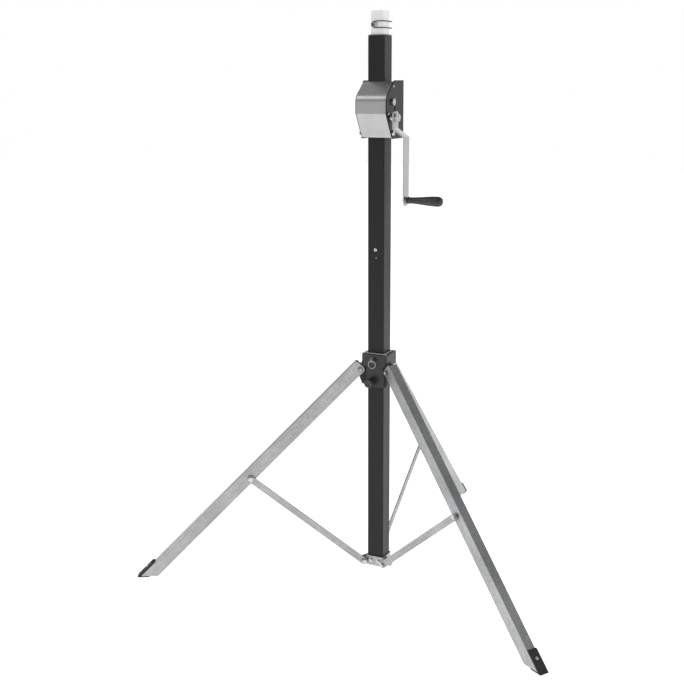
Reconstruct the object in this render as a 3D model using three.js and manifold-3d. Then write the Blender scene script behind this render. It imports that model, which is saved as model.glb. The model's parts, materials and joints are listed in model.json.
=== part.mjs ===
// Crank lighting stand: a wind-up mast on a folding tripod, in millimetres, +Z up.
// The origin is on the floor, at the centre of the box around the whole stand. The winch faces -Y.
import * as THREE from "three";
import { mergeVertices } from "three/addons/utils/BufferGeometryUtils.js";
import Module from "manifold-3d";

const wasm = await Module();
wasm.setup();

// ---- Driving dimensions ----
const GAP = 0.3;

// Mast
const TUBE = 50;
const TUBE_WALL = 2;
const TUBE_BOTTOM = 30;
const TUBE_TOP = 1550;
const MAST_TUBE = 38;
const MAST_WALL = 2;
const MAST_TOP = 1616;
const SLIDER_BOTTOM = 60;
const SLIDER_TOP = 84;
const SOCKET_BORE = 14.5;
const SOCKET_DEPTH = 60;
const SOCKET_BOTTOM = 1540;
const SOCKET_PLUG = 25;
const LOCK_PIN_X = -4;
const LOCK_PIN_Z = 1580;
const WIRE_PIVOT_X = 1;

// Tripod
const LEG_AZIMUTHS = { a: 210, b: 330, c: 90 };
const STRUT_SIDE = { a: 1, b: -1, c: 1 };
const LEG_LENGTH = 884;
const LEG_ANGLE = THREE.MathUtils.degToRad(44.8);
const LEG_PIVOT_R = 54.7;
const LEG_PIVOT_Z = LEG_LENGTH * Math.cos(LEG_ANGLE);
const LEG_HALF_WIDTH = 13.5;
const LEG_SHEET = 2;
const LEG_WEB_X = 25;
const LEG_EDGE_X = -11;
const STRUT_POINT = 457;
const STRUT_PIVOT_R = 44.7;
const STRUT_PIVOT_Z = 34;
const STRUT_WIDTH = 20;
const STRUT_THICK = 4;
const STRUT_SIDE_GAP = 0.5;
const FOOT_THICK = 6;
const SOLE = 3;

// Collar
const COLLAR_HALF = 35;
const COLLAR_CORNER = 14;
const CROWN_HALF = 39.5;
const CROWN_CORNER = 10;
const COLLAR_LOW = LEG_PIVOT_Z - 48;
const COLLAR_HIGH = LEG_PIVOT_Z + 48;
const COLLAR_BORE = 27.3;
const LINER_HALF = 27;
const LINER_BORE = 25.4;
const CROWN_LOW = LEG_PIVOT_Z + 14;
const LUG_HALF = 11;
const KNOB_X = -7;
const KNOB_Z = LEG_PIVOT_Z - 33;
const PLUNGER_Z = LEG_PIVOT_Z + 33;

// Winch, with each axle's distance in front of the mast's axis
const SIDE_LEFT = -39;
const SIDE_RIGHT = 52;
const SIDE_THICK = 3;
const WINCH_LOW = 1281;
const WINCH_HIGH = 1435;
const COVER_TOP_Y = 26;
const COVER_TOP_Z = 1432;
const COVER_ARC_Y = 45;
const COVER_ARC_Z = 1378;
const COVER_RADIUS = 30;
const COVER_SLOPE = 51;
const COVER_FACE_LOW = 1348;
const COVER_FOOT_Y = 37;
const COVER_SHEET = 1.5;
const DRUM_Y = 39;
const DRUM_Z = 1379;
const GEAR_MODULE = 1.5;
const GEAR_TEETH = 38;
const PINION_TEETH = 18;
const CRANK_Y = 50;
const GEAR_DISTANCE = (GEAR_MODULE * (GEAR_TEETH + PINION_TEETH)) / 2 + 0.25;
const CRANK_Z = DRUM_Z - Math.sqrt(GEAR_DISTANCE ** 2 - (CRANK_Y - DRUM_Y) ** 2);
const CRANK_RADIUS = 218;
const GRIP_Z = CRANK_Z - CRANK_RADIUS;
const ARM_THICK = 4;
const ARM_WIDTH = 32;
const ARM_INNER_X = 67;
const ARM_OUTER_X = 99;
const GRIP_LENGTH = 102;
const PULLEY_Y = 32;
const PULLEY_Z = 1404;
const PULLEY_GROOVE = 9.5;
const CABLE_R = 1.25;
const CABLE_GROOVE = 2;

// Bolts
const SHANK = 4;
const HEAD = 7.5;
const HEAD_HIGH = 5.5;

// ---- Materials ----
function finish(color, roughness, metalness) {
  return new THREE.MeshStandardMaterial({ color, roughness, metalness });
}
const BLACK_PAINT = finish(0x232325, 0.45, 0.2);
const BLACK_PLASTIC = finish(0x17171a, 0.5, 0);
const RUBBER = finish(0x1b1b1c, 0.85, 0);
const GALVANISED = finish(0xb9bdc1, 0.4, 0.9);
const ZINC = finish(0xc6c9cc, 0.3, 0.95);
const ALUMINIUM = finish(0xdcdfe2, 0.3, 0.95);
const STAINLESS = finish(0xc4c5c6, 0.28, 1);
const DARK_STEEL = finish(0x55575b, 0.45, 0.7);
const NYLON = finish(0xd8d8d2, 0.5, 0);

// ---- Shape helpers ----
const X = new THREE.Vector3(1, 0, 0);
const Y = new THREE.Vector3(0, 1, 0);
const Z = new THREE.Vector3(0, 0, 1);
const ALONG = {
  x: new THREE.Matrix4().makeBasis(Y, Z, X),
  y: new THREE.Matrix4().makeBasis(Z, X, Y),
  z: new THREE.Matrix4(),
};

function solid(geometry) {
  const bare = new THREE.BufferGeometry();
  const loose = geometry.index ? geometry.toNonIndexed() : geometry;
  bare.setAttribute("position", loose.getAttribute("position"));
  const merged = mergeVertices(bare, 1e-4);
  const mesh = new wasm.Mesh({
    numProp: 3,
    vertProperties: new Float32Array(merged.attributes.position.array),
    triVerts: new Uint32Array(merged.index.array),
  });
  return new wasm.Manifold(mesh);
}

function geometryOf(body) {
  const mesh = body.getMesh();
  const geometry = new THREE.BufferGeometry();
  geometry.setAttribute("position", new THREE.BufferAttribute(new Float32Array(mesh.vertProperties), 3));
  geometry.setIndex(new THREE.BufferAttribute(new Uint32Array(mesh.triVerts), 1));
  geometry.computeVertexNormals();
  return geometry;
}

// A flat outline pushed from one place to another along an axis.
// The outline's pairs are (y, z) along x, (z, x) along y and (x, y) along z.
function prism(axis, outline, from, to) {
  const shape = new THREE.Shape(outline.map(([u, v]) => new THREE.Vector2(u, v)));
  const geometry = new THREE.ExtrudeGeometry(shape, { depth: to - from, bevelEnabled: false });
  geometry.translate(0, 0, from);
  return solid(geometry.applyMatrix4(ALONG[axis]));
}

function arc(u, v, radius, startDegrees, endDegrees, steps) {
  const points = [];
  for (let i = 0; i <= steps; i += 1) {
    const angle = THREE.MathUtils.degToRad(startDegrees + ((endDegrees - startDegrees) * i) / steps);
    points.push([u + radius * Math.cos(angle), v + radius * Math.sin(angle)]);
  }
  return points;
}

function circle(u, v, radius, sides = 16) {
  return arc(u, v, radius, 0, 360 - 360 / sides, sides - 1);
}

function roundedBox(u, v, halfU, halfV, radius, steps = 4) {
  return [
    ...arc(u + halfU - radius, v + halfV - radius, radius, 0, 90, steps),
    ...arc(u - halfU + radius, v + halfV - radius, radius, 90, 180, steps),
    ...arc(u - halfU + radius, v - halfV + radius, radius, 180, 270, steps),
    ...arc(u + halfU - radius, v - halfV + radius, radius, 270, 360, steps),
  ];
}

function rod(axis, u, v, radius, from, to, sides = 16) {
  return prism(axis, circle(u, v, radius, sides), from, to);
}

function block(x0, x1, y0, y1, z0, z1) {
  return prism("z", [[x0, y0], [x1, y0], [x1, y1], [x0, y1]], z0, z1);
}

function join(...bodies) {
  return bodies.reduce((whole, next) => whole.add(next));
}

function cut(body, ...tools) {
  return tools.reduce((left, tool) => left.subtract(tool), body);
}

// A bolt along an axis: a hexagon head from headFrom to headTo, and its shank on to shankTo.
function bolt(axis, u, v, headFrom, headTo, shankTo, radius = SHANK, head = HEAD) {
  const low = Math.min(headTo, shankTo);
  const high = Math.max(headTo, shankTo);
  return join(
    prism(axis, circle(u, v, head, 6), Math.min(headFrom, headTo), Math.max(headFrom, headTo)),
    rod(axis, u, v, radius, low - 0.01, high + 0.01),
  );
}

// A body turned on a lathe: pairs of radius and place along the axis through u, v.
function turned(axis, u, v, profile, sides = 24) {
  const points = profile.map(([radius, along]) => new THREE.Vector2(radius, along));
  const geometry = new THREE.LatheGeometry(points, sides);
  geometry.rotateX(Math.PI / 2);
  geometry.translate(u, v, 0);
  return solid(geometry.applyMatrix4(ALONG[axis]));
}

function gearOutline(u, v, teeth, phase) {
  const pitch = (GEAR_MODULE * teeth) / 2;
  const step = 360 / teeth;
  const outline = [];
  for (let i = 0; i < teeth; i += 1) {
    const middle = phase + i * step;
    outline.push(...arc(u, v, pitch - 1.2 * GEAR_MODULE, middle - 0.3 * step, middle - 0.3 * step, 1).slice(1));
    outline.push(...arc(u, v, pitch + 0.9 * GEAR_MODULE, middle - 0.11 * step, middle + 0.11 * step, 1));
    outline.push(...arc(u, v, pitch - 1.2 * GEAR_MODULE, middle + 0.3 * step, middle + 0.3 * step, 1).slice(1));
  }
  return outline;
}

const stand = new THREE.Group();
const mast = new THREE.Group();
stand.add(mast);

function add(parent, name, body, material) {
  const mesh = new THREE.Mesh(geometryOf(body), material);
  mesh.name = name;
  parent.add(mesh);
  return mesh;
}

// ---- Mast: two square tubes, one sliding in the other ----
function makeMast() {
  const half = TUBE / 2;
  const bore = half - TUBE_WALL;
  const slotHalf = 5;
  const outer = cut(
    prism("z", roundedBox(0, 0, half, half, 4), TUBE_BOTTOM, TUBE_TOP),
    prism("z", roundedBox(0, 0, bore, bore, 3), TUBE_BOTTOM - 1, TUBE_TOP + 1),
    block(-slotHalf, slotHalf, -half - 1, -bore + 1, PULLEY_Z - 16, PULLEY_Z + 14),
    rod("y", PLUNGER_Z + FOLD_TRAVEL, 0, 3.6, -half - 1, -bore + 1),
    rod("y", COLLAR_STOP_Z, 0, 3.3, -half - 1, -bore + 1),
  );
  add(mast, "outer_tube", outer, BLACK_PAINT);

  const innerHalf = MAST_TUBE / 2;
  const innerBore = innerHalf - MAST_WALL;
  const bushOuter = bore - GAP;
  const bush = cut(
    join(
      prism("z", roundedBox(0, 0, half, half, 6), TUBE_TOP + GAP, TUBE_TOP + 4),
      prism("z", roundedBox(0, 0, bushOuter, bushOuter, 3), TUBE_TOP - 50, TUBE_TOP + 1),
    ),
    prism("z", roundedBox(0, 0, innerHalf + GAP, innerHalf + GAP, 2.5), TUBE_TOP - 51, TUBE_TOP + 5),
  );
  add(mast, "top_bush", bush, BLACK_PLASTIC);

  const inner = cut(
    prism("z", roundedBox(0, 0, innerHalf, innerHalf, 2.5), SLIDER_TOP + GAP, SOCKET_BOTTOM - GAP),
    prism("z", roundedBox(0, 0, innerBore, innerBore, 1), SLIDER_TOP, SOCKET_BOTTOM),
  );
  add(mast, "inner_tube", inner, ALUMINIUM);

  const sliderHalf = bore - GAP;
  const spigotHalf = innerBore - GAP;
  const slider = cut(
    join(
      prism("z", roundedBox(0, 0, sliderHalf, sliderHalf, 3), SLIDER_BOTTOM, SLIDER_TOP),
      prism("z", roundedBox(0, 0, spigotHalf, spigotHalf, 1), SLIDER_TOP - 1, SLIDER_TOP + 25),
    ),
    rod("z", 0, 0, 10, SLIDER_BOTTOM - 1, SLIDER_TOP + 26),
    block(-CABLE_GROOVE, CABLE_GROOVE, -TUBE, -innerHalf - GAP, SLIDER_BOTTOM - 1, SLIDER_TOP + 1),
  );
  add(mast, "bottom_slider", slider, NYLON);

  const pinHole = rod("y", LOCK_PIN_Z, LOCK_PIN_X, SHANK + GAP, -TUBE, TUBE);
  const socket = cut(
    join(
      prism("z", roundedBox(0, 0, innerHalf, innerHalf, 2.5), SOCKET_BOTTOM, MAST_TOP),
      prism("z", roundedBox(0, 0, spigotHalf, spigotHalf, 1), SOCKET_BOTTOM - SOCKET_PLUG, SOCKET_BOTTOM + 1),
    ),
    rod("z", 0, 0, SOCKET_BORE, MAST_TOP - SOCKET_DEPTH - 1, MAST_TOP + 1, 28),
    pinHole,
  );
  add(mast, "spigot_socket", socket, ALUMINIUM);
}

// ---- Wire lock pin through the top of the inner tube ----
function makeLockPin() {
  const face = MAST_TUBE / 2;
  const wireR = 1.4;
  const rise = 8.2;
  const pin = join(
    rod("y", LOCK_PIN_Z, LOCK_PIN_X, SHANK, -face - 0.8, face + 1),
    rod("y", LOCK_PIN_Z, LOCK_PIN_X, HEAD - 1.5, face + GAP, face + 10),
  );
  add(mast, "lock_pin", pin, DARK_STEEL);

  // The wire hinges behind the pin's head, runs round the tube's right side and closes over the pin's tip.
  const side = face + 2.8;
  const front = -face - 4.2;
  const back = face + 12;
  const lower = [[WIRE_PIVOT_X, back, -rise], [12, back, -rise], [side, back - 9, -rise], [side, 0, -rise]];
  lower.push([side, front + 4, -rise], [side - 4, front, -rise], [LOCK_PIN_X + 2, front, -rise]);
  const tip = [[LOCK_PIN_X - 6, front, -6], [LOCK_PIN_X - 8.5, front, 0], [LOCK_PIN_X - 6, front, 6]];
  const upper = lower.map(([x, y, z]) => [x, y, -z]).reverse();
  const points = [...lower, ...tip, ...upper].map(([x, y, z]) => new THREE.Vector3(x, y, LOCK_PIN_Z + z));
  const path = new THREE.CatmullRomCurve3(points, false, "centripetal");
  const section = new THREE.Shape(circle(0, 0, wireR, 8).map(([u, v]) => new THREE.Vector2(u, v)));
  const wire = new THREE.ExtrudeGeometry(section, { steps: 50, extrudePath: path, bevelEnabled: false });
  add(mast, "wire_bail", solid(wire), DARK_STEEL);
}

// ---- Tripod ----
const STRUT_JOINT_R = LEG_PIVOT_R + STRUT_POINT * Math.sin(LEG_ANGLE);
const STRUT_JOINT_Z = LEG_PIVOT_Z - STRUT_POINT * Math.cos(LEG_ANGLE);
const STRUT_REACH = STRUT_JOINT_R - STRUT_PIVOT_R;
const STRUT_RISE = STRUT_JOINT_Z - STRUT_PIVOT_Z;
const STRUT_LENGTH = Math.hypot(STRUT_REACH, STRUT_RISE);
const STRUT_ANGLE = Math.atan2(STRUT_REACH, STRUT_RISE);
// The collar's rise from open to folded, where legs hang straight down beside the mast.
const FOLD_TRAVEL =
  Math.sqrt(STRUT_LENGTH ** 2 - (LEG_PIVOT_R - STRUT_PIVOT_R) ** 2) + STRUT_PIVOT_Z + STRUT_POINT - LEG_PIVOT_Z;
const COLLAR_STOP_Z = COLLAR_HIGH + FOLD_TRAVEL + 9;

// Along the leg, how far down a point at x lies when it is at a height above the floor.
function legDown(x, height) {
  return (height - LEG_PIVOT_Z - x * Math.sin(LEG_ANGLE)) / Math.cos(LEG_ANGLE);
}

function makeLeg(key) {
  const spoke = new THREE.Group();
  spoke.rotation.z = THREE.MathUtils.degToRad(LEG_AZIMUTHS[key]);
  mast.add(spoke);
  const swing = new THREE.Group();
  swing.position.set(LEG_PIVOT_R, 0, LEG_PIVOT_Z);
  swing.rotation.y = -LEG_ANGLE;
  spoke.add(swing);

  const side = STRUT_SIDE[key];
  const inside = LEG_HALF_WIDTH - LEG_SHEET;
  // The outline's pairs are (z, x), because the channel is pushed along y.
  const outline = [
    [legDown(LEG_EDGE_X, SOLE + GAP), LEG_EDGE_X],
    [0, LEG_EDGE_X],
    ...arc(0, 0, -LEG_EDGE_X, -80, 0, 6),
    [-LEG_EDGE_X, LEG_WEB_X - 4],
    [-LEG_EDGE_X - 4, LEG_WEB_X],
    [legDown(LEG_WEB_X, SOLE + GAP), LEG_WEB_X],
  ];
  const channel = cut(
    prism("y", outline, -LEG_HALF_WIDTH, LEG_HALF_WIDTH),
    block(LEG_EDGE_X - 1, LEG_WEB_X - LEG_SHEET, -inside, inside, -2 * LEG_LENGTH, LEG_LENGTH),
    rod("y", 0, 0, SHANK + GAP, -TUBE, TUBE),
  );
  const nutFrom = Math.min(side * (inside - 4), side * (inside + 0.5));
  const nut = prism("y", circle(-STRUT_POINT, 0, HEAD, 6), nutFrom, nutFrom + 4.5);
  add(swing, `leg_${key}`, join(channel, nut), GALVANISED);

  // The foot lies on the web's outer face and turns in under the channel's end.
  const soleIn = 6;
  const pad = [
    [legDown(LEG_WEB_X, 45), LEG_WEB_X + GAP],
    [legDown(LEG_WEB_X, 42), LEG_WEB_X + FOOT_THICK],
    [legDown(LEG_WEB_X + FOOT_THICK, 0), LEG_WEB_X + FOOT_THICK],
    [legDown(soleIn, 0), soleIn],
    [legDown(soleIn, SOLE), soleIn],
    [legDown(LEG_WEB_X + GAP, SOLE), LEG_WEB_X + GAP],
  ].reverse();
  add(swing, `foot_${key}`, prism("y", pad, -LEG_HALF_WIDTH - 1, LEG_HALF_WIDTH + 1), RUBBER);

  const strutGroup = new THREE.Group();
  strutGroup.position.set(STRUT_PIVOT_R, 0, STRUT_PIVOT_Z);
  strutGroup.rotation.y = STRUT_ANGLE;
  spoke.add(strutGroup);
  const near = LEG_HALF_WIDTH + STRUT_SIDE_GAP;
  const far = near + STRUT_THICK;
  const r = STRUT_WIDTH / 2;
  const bar = [...arc(0, 0, r, 90, 270, 8), ...arc(STRUT_LENGTH, 0, r, -90, 90, 8)];
  const [low, high] = side > 0 ? [near, far] : [-far, -near];
  const strut = cut(
    prism("y", bar, low, high),
    rod("y", 0, 0, SHANK + GAP, -TUBE, TUBE),
    rod("y", STRUT_LENGTH, 0, SHANK + GAP, -TUBE, TUBE),
  );
  add(strutGroup, `strut_${key}`, strut, GALVANISED);
  const rivet = bolt("y", STRUT_LENGTH, 0, side * (far + GAP), side * (far + HEAD_HIGH), side * (near + GAP));
  add(strutGroup, `strut_bolt_${key}`, rivet, ZINC);

  const baseBolt = join(
    bolt("y", STRUT_PIVOT_Z, STRUT_PIVOT_R, side * (far + GAP), side * (far + HEAD_HIGH), side * -16),
    rod("y", STRUT_PIVOT_Z, STRUT_PIVOT_R, 5.2, side > 0 ? 10.8 : -near + GAP, side > 0 ? near - GAP : -10.8),
    prism("y", circle(STRUT_PIVOT_Z, STRUT_PIVOT_R, HEAD, 6), side > 0 ? -15.5 : 10.8, side > 0 ? -10.8 : 15.5),
  );
  add(spoke, `base_bolt_${key}`, baseBolt, ZINC);

  const legBolt = join(
    bolt("y", LEG_PIVOT_Z, LEG_PIVOT_R, LEG_HALF_WIDTH + GAP, LEG_HALF_WIDTH + HEAD_HIGH, -LEG_HALF_WIDTH - 1),
    prism("y", circle(LEG_PIVOT_Z, LEG_PIVOT_R, HEAD, 6), -LEG_HALF_WIDTH - HEAD_HIGH, -LEG_HALF_WIDTH - GAP),
  );
  add(spoke, `leg_bolt_${key}`, legBolt, ZINC);
}

// A body made once for each leg, turned to the leg's azimuth.
function aroundLegs(body) {
  return Object.values(LEG_AZIMUTHS).map((degrees) => body.rotate([0, 0, degrees]));
}

function makeBaseBracket() {
  const inner = TUBE / 2 + GAP;
  const outer = inner + 3;
  const low = STRUT_PIVOT_Z - 12;
  const high = STRUT_PIVOT_Z + 18;
  const earOutline = [
    [low, 20],
    ...arc(STRUT_PIVOT_Z, STRUT_PIVOT_R, 9, 180, 0, 8),
    [high, 20],
  ].reverse();
  const ears = [
    prism("y", earOutline, 7.5, 10.5),
    prism("y", earOutline, -10.5, -7.5),
  ];
  const bracket = cut(
    join(prism("z", roundedBox(0, 0, outer, outer, 4), low, high), ...ears.flatMap(aroundLegs)),
    block(-inner, inner, -inner, inner, TUBE_BOTTOM - GAP, high + 1),
    rod("z", 0, 0, 15, low - 1, TUBE_BOTTOM + 1, 24),
    ...aroundLegs(rod("y", STRUT_PIVOT_Z, STRUT_PIVOT_R, SHANK + GAP, -11, 11)),
  );
  add(mast, "base_bracket", bracket, GALVANISED);
}

function makeCollar() {
  const lug = [
    [COLLAR_LOW + 3, 24],
    [COLLAR_LOW + 6, LEG_PIVOT_R - 5],
    ...arc(LEG_PIVOT_Z, LEG_PIVOT_R, 10.5, 120, 20, 6),
    [COLLAR_HIGH - 22, LEG_PIVOT_R - 14],
    [COLLAR_HIGH - 20, 24],
  ].reverse();
  const wall = -CROWN_HALF - 1;
  const collar = cut(
    join(
      prism("z", roundedBox(0, 0, COLLAR_HALF, COLLAR_HALF, COLLAR_CORNER, 5), COLLAR_LOW, COLLAR_HIGH),
      prism("z", roundedBox(0, 0, CROWN_HALF, CROWN_HALF, CROWN_CORNER, 5), CROWN_LOW, COLLAR_HIGH),
      ...aroundLegs(prism("y", lug, -LUG_HALF, LUG_HALF)),
    ),
    prism("z", roundedBox(0, 0, COLLAR_BORE, COLLAR_BORE, 4), COLLAR_LOW - 1, COLLAR_HIGH + 1),
    ...aroundLegs(rod("y", LEG_PIVOT_Z, LEG_PIVOT_R, SHANK + GAP, -TUBE, TUBE)),
    rod("y", KNOB_Z, KNOB_X, SHANK + GAP, wall, 0),
    rod("y", PLUNGER_Z, 0, 6 + GAP, wall, 0),
  );
  add(mast, "leg_collar", collar, BLACK_PLASTIC);

  const liner = cut(
    join(
      prism("z", roundedBox(0, 0, LINER_HALF, LINER_HALF, 4), COLLAR_LOW, COLLAR_HIGH + 1),
      prism("z", roundedBox(0, 0, LINER_HALF + 3, LINER_HALF + 3, 6), COLLAR_HIGH + GAP, COLLAR_HIGH + 2),
    ),
    prism("z", roundedBox(0, 0, LINER_BORE, LINER_BORE, 4.5), COLLAR_LOW - 1, COLLAR_HIGH + 3),
    rod("y", PLUNGER_Z, 0, 3.6, wall, 0),
  );
  add(mast, "collar_liner", liner, NYLON);

  const face = -COLLAR_HALF;
  add(mast, "lock_screw", rod("y", KNOB_Z, KNOB_X, SHANK, face - 22, -LINER_HALF - GAP), ZINC);
  const grooved = [];
  const flutes = 14;
  for (let i = 0; i < flutes; i += 1) {
    const turn = (i * 360) / flutes;
    grooved.push(...arc(KNOB_Z, KNOB_X, 13, turn - 7, turn + 7, 1), ...arc(KNOB_Z, KNOB_X, 12, turn + 11, turn + 15, 1));
  }
  const knob = cut(
    join(
      prism("y", grooved, face - 27, face - 8),
      rod("y", KNOB_Z, KNOB_X, 8, face - 9, face - 1),
    ),
    rod("y", KNOB_Z, KNOB_X, SHANK + GAP, face - 22 - GAP, face),
  );
  add(mast, "lock_knob", knob, BLACK_PLASTIC);

  const crown = -CROWN_HALF;
  const housing = cut(
    join(
      prism("y", circle(PLUNGER_Z, 0, 8, 6), crown - 5, crown - GAP),
      rod("y", PLUNGER_Z, 0, 6, crown - 1, -LINER_HALF - GAP),
    ),
    rod("y", PLUNGER_Z, 0, 3 + GAP, crown - 11, 0),
  );
  add(mast, "plunger_housing", housing, ZINC);
  const ringY = crown - 9.5;
  const pin = cut(
    join(
      rod("y", PLUNGER_Z, 0, 3, crown - 7, -TUBE / 2 - GAP, 16),
      rod("y", PLUNGER_Z, 0, 4.5, crown - 13, crown - 5 - GAP, 16),
    ),
    rod("x", ringY, PLUNGER_Z - 0.5, 2.2, -10, 10, 12),
  );
  add(mast, "pull_pin", pin, ZINC);
  const ringRadius = 11;
  const ring = new THREE.TorusGeometry(ringRadius, 1.1, 6, 28);
  ring.rotateX(Math.PI / 2);
  ring.translate(0, ringY, PLUNGER_Z - ringRadius);
  add(mast, "pull_ring", solid(ring), ZINC);

  const tubeFace = -TUBE / 2;
  const dome = [[0, tubeFace - 4.5], [3.4, tubeFace - 3.6], [5.5, tubeFace - GAP], [0, tubeFace - GAP]];
  const stopScrew = join(
    turned("y", COLLAR_STOP_Z, 0, dome),
    rod("y", COLLAR_STOP_Z, 0, 3, -TUBE / 2 - 1, -TUBE / 2 + TUBE_WALL),
  );
  add(mast, "collar_stop_screw", stopScrew, ZINC);
}

// ---- Winch ----
// The front of the winch, seen from its side, at a distance inside the cover's outer face.
function coverFront(inset) {
  return [
    [-COVER_TOP_Y, COVER_TOP_Z - 1.27 * inset],
    ...arc(-COVER_ARC_Y, COVER_ARC_Z, COVER_RADIUS - inset, 180 - COVER_SLOPE, 180, 10),
    [-COVER_ARC_Y - COVER_RADIUS + inset, COVER_FACE_LOW + 0.3 * inset],
    [-COVER_FOOT_Y + 0.87 * inset, WINCH_LOW + 3 + 0.5 * inset],
  ];
}

function makeWinchFrame() {
  const rear = 35;
  // The left plate is set back inside the cover's edge, and the right one shows as a rim round it.
  const plateOutline = (inset) => [
    [rear, WINCH_LOW],
    [rear, WINCH_HIGH],
    [-COVER_TOP_Y + 3, WINCH_HIGH],
    ...coverFront(inset),
    [-COVER_FOOT_Y + 2, WINCH_LOW],
  ];
  const holes = [
    rod("x", -DRUM_Y, DRUM_Z, 5 + GAP, -2 * TUBE, 2 * TUBE),
    rod("x", -CRANK_Y, CRANK_Z, 6 + GAP, -2 * TUBE, 2 * TUBE),
    rod("x", -PULLEY_Y, PULLEY_Z, 3 + GAP, -2 * TUBE, 0),
    rod("x", -TIE_Y, TIE_Z, SHANK + GAP, -2 * TUBE, 2 * TUBE),
  ];
  const left = prism("x", plateOutline(3), SIDE_LEFT, SIDE_LEFT + SIDE_THICK);
  add(mast, "winch_side_left", cut(left, ...holes), BLACK_PAINT);
  const pawlHole = rod("x", -PAWL_Y, PAWL_Z, 3 + GAP, 0, 2 * TUBE);
  const slot = prism("x", roundedBox(-DRUM_Y + 15, DRUM_Z - 18, 2.6, 7, 2.5), 0, 2 * TUBE);
  const right = prism("x", plateOutline(-1), SIDE_RIGHT, SIDE_RIGHT + SIDE_THICK);
  add(mast, "winch_side_right", cut(right, ...holes, pawlHole, slot), BLACK_PAINT);

  const face = TUBE / 2 + GAP;
  const back = cut(
    block(SIDE_LEFT + SIDE_THICK + GAP, SIDE_RIGHT - GAP, face, face + 3, WINCH_LOW + 8, WINCH_HIGH - 8),
    rod("y", WINCH_HIGH - 35, 0, SHANK + GAP, 0, TUBE),
    rod("y", WINCH_LOW + 35, 0, SHANK + GAP, 0, TUBE),
  );
  add(mast, "winch_back", back, BLACK_PAINT);
  const bolts = { upper: WINCH_HIGH - 35, lower: WINCH_LOW + 35 };
  for (const [name, z] of Object.entries(bolts)) {
    add(mast, `winch_bolt_${name}`, bolt("y", z, 0, face + 9, face + 3 + GAP, face), ZINC);
  }

  const outline = [...coverFront(0), ...coverFront(COVER_SHEET).reverse()];
  const cover = prism("x", outline, SIDE_LEFT + SIDE_THICK + GAP, SIDE_RIGHT - GAP);
  add(mast, "winch_cover", cover, STAINLESS);

  const outerLeft = SIDE_LEFT - GAP;
  const outerRight = SIDE_RIGHT + SIDE_THICK + GAP;
  const axle = join(
    bolt("x", -DRUM_Y, DRUM_Z, outerRight + 6, outerRight, outerLeft, 5, 10),
    prism("x", circle(-DRUM_Y, DRUM_Z, 9, 6), outerLeft - 6, outerLeft),
  );
  add(mast, "drum_axle", axle, ZINC);
  const tie = join(
    bolt("x", -TIE_Y, TIE_Z, outerRight + 4, outerRight, outerLeft),
    prism("x", circle(-TIE_Y, TIE_Z, HEAD, 6), outerLeft - 4, outerLeft),
  );
  add(mast, "tie_bolt", tie, ZINC);
  // The pulley turns on a stub bolted into the left side plate, clear of the gear on the right.
  add(mast, "pulley_axle", bolt("x", -PULLEY_Y, PULLEY_Z, outerLeft - 4, outerLeft, 8, 3, 5.5), ZINC);
  const pulley = turned("x", -PULLEY_Y, PULLEY_Z, [
    [3 + GAP, -3.5],
    [12, -3.5],
    [12, -2.6],
    [PULLEY_GROOVE - 1, 0],
    [12, 2.6],
    [12, 3.5],
    [3 + GAP, 3.5],
    [3 + GAP, -3.5],
  ]);
  add(mast, "cable_pulley", pulley, NYLON);
}

const TIE_Y = 36;
const TIE_Z = 1297;
const PAWL_Y = 20;
const PAWL_Z = CRANK_Z + 9;
const GEAR_X = 38;
const GEAR_WIDTH = 8;
const RATCHET_X = 48;
const RATCHET_WIDTH = 3.3;

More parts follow.
